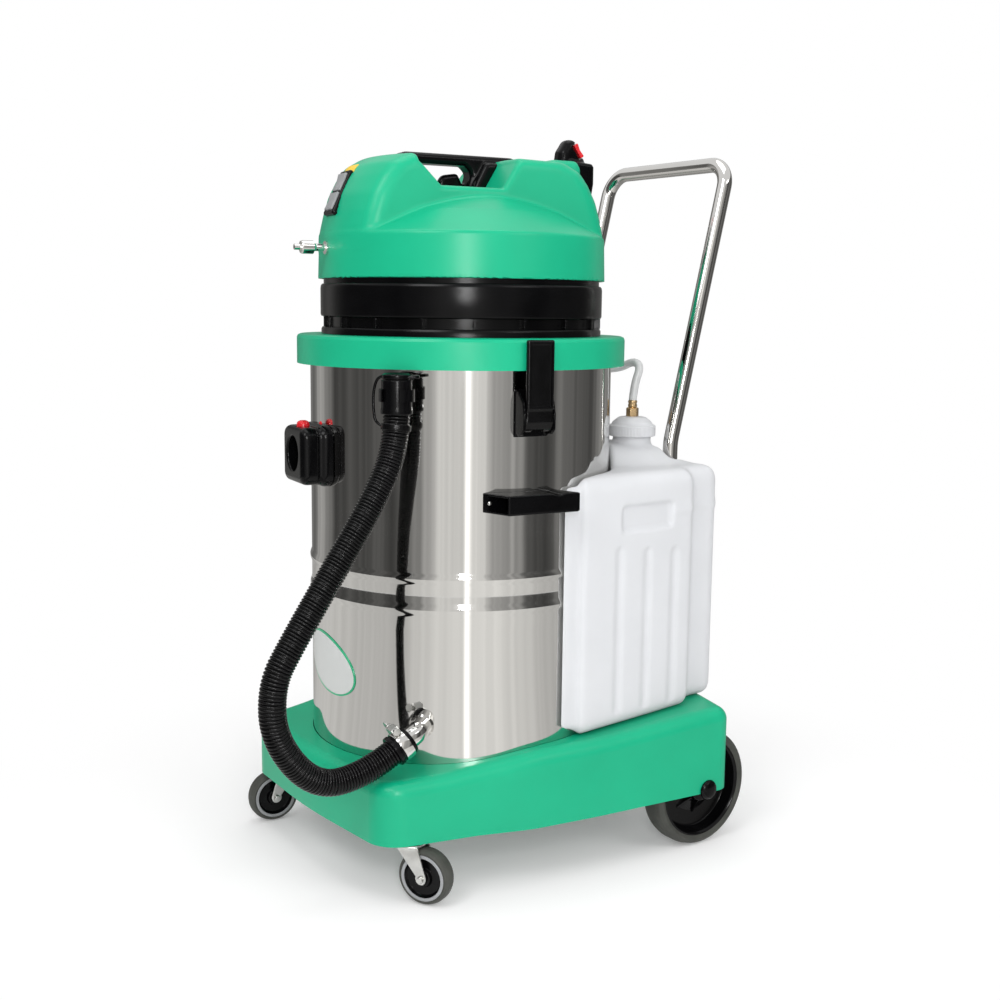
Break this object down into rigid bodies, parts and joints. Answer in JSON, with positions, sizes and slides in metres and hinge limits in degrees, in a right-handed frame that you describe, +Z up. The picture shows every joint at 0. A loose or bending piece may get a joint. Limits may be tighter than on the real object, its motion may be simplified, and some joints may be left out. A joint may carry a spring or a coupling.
{
  "type": "wet and dry vacuum with spray extraction",
  "caption": "Upright wet and dry spray-extraction vacuum: steel drum and lift-off motor head on a wheeled cart, with solution tank, drain hose and push handle.",
  "frame": {"origin": "centre of the footprint on the floor, measured without the free hoses", "axes": "+Z up, -Y towards the hose inlet at the front, +Y towards the push handle, +X towards the accessory holder"},
  "size_m": [0.56, 0.8007, 1.017],
  "materials": {
    "green_plastic": "satin",
    "black_plastic": "satin",
    "polished_steel": "polished",
    "chrome": "polished",
    "black_rubber": "matt",
    "tyre_rubber": "matt",
    "white_plastic": "satin",
    "clear_plastic": "translucent",
    "brass": "satin",
    "red_plastic": "gloss",
    "grey_plastic": "satin",
    "zinc_steel": "zinc plated",
    "motor_metal": "cast",
    "badge_paint": "gloss"
  },
  "bodies": {
    "cart": {"cart_base": "green_plastic", "recovery_drum": "polished_steel", "drum_screws": "zinc_steel", "rear_axle": "zinc_steel", "axle_caps": "black_plastic", "caster_plates": "zinc_steel", "latch_brackets": "zinc_steel", "latch_pins": "zinc_steel", "accessory_holder": "black_plastic", "inlet_housing": "black_plastic", "inlet_deflector": "polished_steel", "drain_elbow": "chrome", "drain_collar": "black_rubber", "hose_clamp": "zinc_steel", "drain_hose": "black_rubber", "hose_cuff": "black_plastic", "hose_cap": "black_plastic", "cap_lanyard": "black_plastic", "hose_hook": "black_plastic", "solution_tank": "white_plastic", "hose_fitting": "brass", "dip_tube": "clear_plastic", "feed_hose": "clear_plastic", "wall_fitting": "brass", "push_handle": "chrome", "handle_sockets": "zinc_steel", "badge_plate": "badge_paint"},
    "head": {"rim_ring": "green_plastic", "ring_gasket": "black_rubber", "head_base": "black_plastic", "head_cover": "green_plastic", "carry_handle": "black_plastic", "rear_pod": "black_plastic", "switch_bezel": "black_plastic", "spray_coupling": "chrome", "motor_a": "motor_metal", "motor_b": "motor_metal", "pump": "black_plastic", "plenum_pan": "black_plastic", "float_cage": "black_plastic"},
    "near_latch": {"near_latch": "black_plastic"},
    "far_latch": {"far_latch": "black_plastic"},
    "release_button": {"release_button": "red_plastic"},
    "solution_cap": {"solution_cap": "white_plastic"},
    "right_wheel": {"right_tyre": "tyre_rubber", "right_hub": "black_plastic"},
    "left_wheel": {"left_tyre": "tyre_rubber", "left_hub": "black_plastic"},
    "right_caster": {"right_fork": "zinc_steel", "right_caster_bolt": "zinc_steel"},
    "left_caster": {"left_fork": "zinc_steel", "left_caster_bolt": "zinc_steel"},
    "right_caster_wheel": {"right_caster_wheel": "tyre_rubber"},
    "left_caster_wheel": {"left_caster_wheel": "tyre_rubber"},
    "upper_switch": {"upper_switch": "grey_plastic"},
    "lower_switch": {"lower_switch": "grey_plastic"},
    "pump_switch": {"pump_switch": "red_plastic"},
    "fan_a": {"fan_a": "black_plastic"},
    "fan_b": {"fan_b": "black_plastic"},
    "float_ball": {"float_ball": "white_plastic"}
  },
  "joints": [
    {"name": "head_lift", "type": "slide", "parent": "cart", "child": "head", "axis": [0, 0, 1], "range_m": [0, 0.35]},
    {"name": "near_latch_turn", "type": "hinge", "parent": "cart", "child": "near_latch", "pos_m": [0.22618, -0.10667, 0.628], "axis": [0.1564, 0.9877, 0], "range_deg": [0, 100]},
    {"name": "far_latch_turn", "type": "hinge", "parent": "cart", "child": "far_latch", "pos_m": [-0.22618, -0.03503, 0.628], "axis": [-0.1564, -0.9877, 0], "range_deg": [0, 100]},
    {"name": "release_button_push", "type": "slide", "parent": "cart", "child": "release_button", "axis": [0, 0, -1], "range_m": [0, 0.003], "stiffness_N_per_m": 500, "springref_m": -0.002},
    {"name": "solution_cap_turn", "type": "hinge", "parent": "cart", "child": "solution_cap", "pos_m": [0.1, 0.17015, 0.6], "axis": [0, 0, 1], "continuous": true},
    {"name": "right_wheel_spin", "type": "hinge", "parent": "cart", "child": "right_wheel", "pos_m": [0.242, 0.18315, 0.086], "axis": [1, 0, 0], "continuous": true},
    {"name": "left_wheel_spin", "type": "hinge", "parent": "cart", "child": "left_wheel", "pos_m": [-0.242, 0.18315, 0.086], "axis": [1, 0, 0], "continuous": true},
    {"name": "right_caster_swivel", "type": "hinge", "parent": "cart", "child": "right_caster", "pos_m": [0.176, -0.26585, 0.08], "axis": [0, 0, 1], "continuous": true},
    {"name": "left_caster_swivel", "type": "hinge", "parent": "cart", "child": "left_caster", "pos_m": [-0.176, -0.26585, 0.08], "axis": [0, 0, 1], "continuous": true},
    {"name": "right_caster_spin", "type": "hinge", "parent": "right_caster", "child": "right_caster_wheel", "pos_m": [0.19787, -0.25373, 0.0375], "axis": [-0.4848, 0.8746, 0], "continuous": true},
    {"name": "left_caster_spin", "type": "hinge", "parent": "left_caster", "child": "left_caster_wheel", "pos_m": [-0.17818, -0.29075, 0.0375], "axis": [0.9962, -0.0872, 0], "continuous": true},
    {"name": "upper_switch_rock", "type": "hinge", "parent": "head", "child": "upper_switch", "pos_m": [-0.0285, -0.25079, 0.9404], "axis": [0.9877, -0.1564, 0], "range_deg": [0, 10]},
    {"name": "lower_switch_rock", "type": "hinge", "parent": "head", "child": "lower_switch", "pos_m": [-0.03034, -0.26238, 0.91476], "axis": [0.9877, -0.1564, 0], "range_deg": [0, 10]},
    {"name": "pump_switch_rock", "type": "hinge", "parent": "head", "child": "pump_switch", "pos_m": [0.02855, 0.1094, 1.003], "axis": [0.9877, -0.1564, 0], "range_deg": [0, 10]},
    {"name": "fan_a_spin", "type": "hinge", "parent": "head", "child": "fan_a", "pos_m": [0.08099, -0.08368, 0.755], "axis": [0, 0, 1], "continuous": true},
    {"name": "fan_b_spin", "type": "hinge", "parent": "head", "child": "fan_b", "pos_m": [-0.08099, -0.05802, 0.755], "axis": [0, 0, 1], "continuous": true},
    {"name": "float_rise", "type": "slide", "parent": "head", "child": "float_ball", "axis": [0, 0, 1], "range_m": [0, 0.03]}
  ]
}
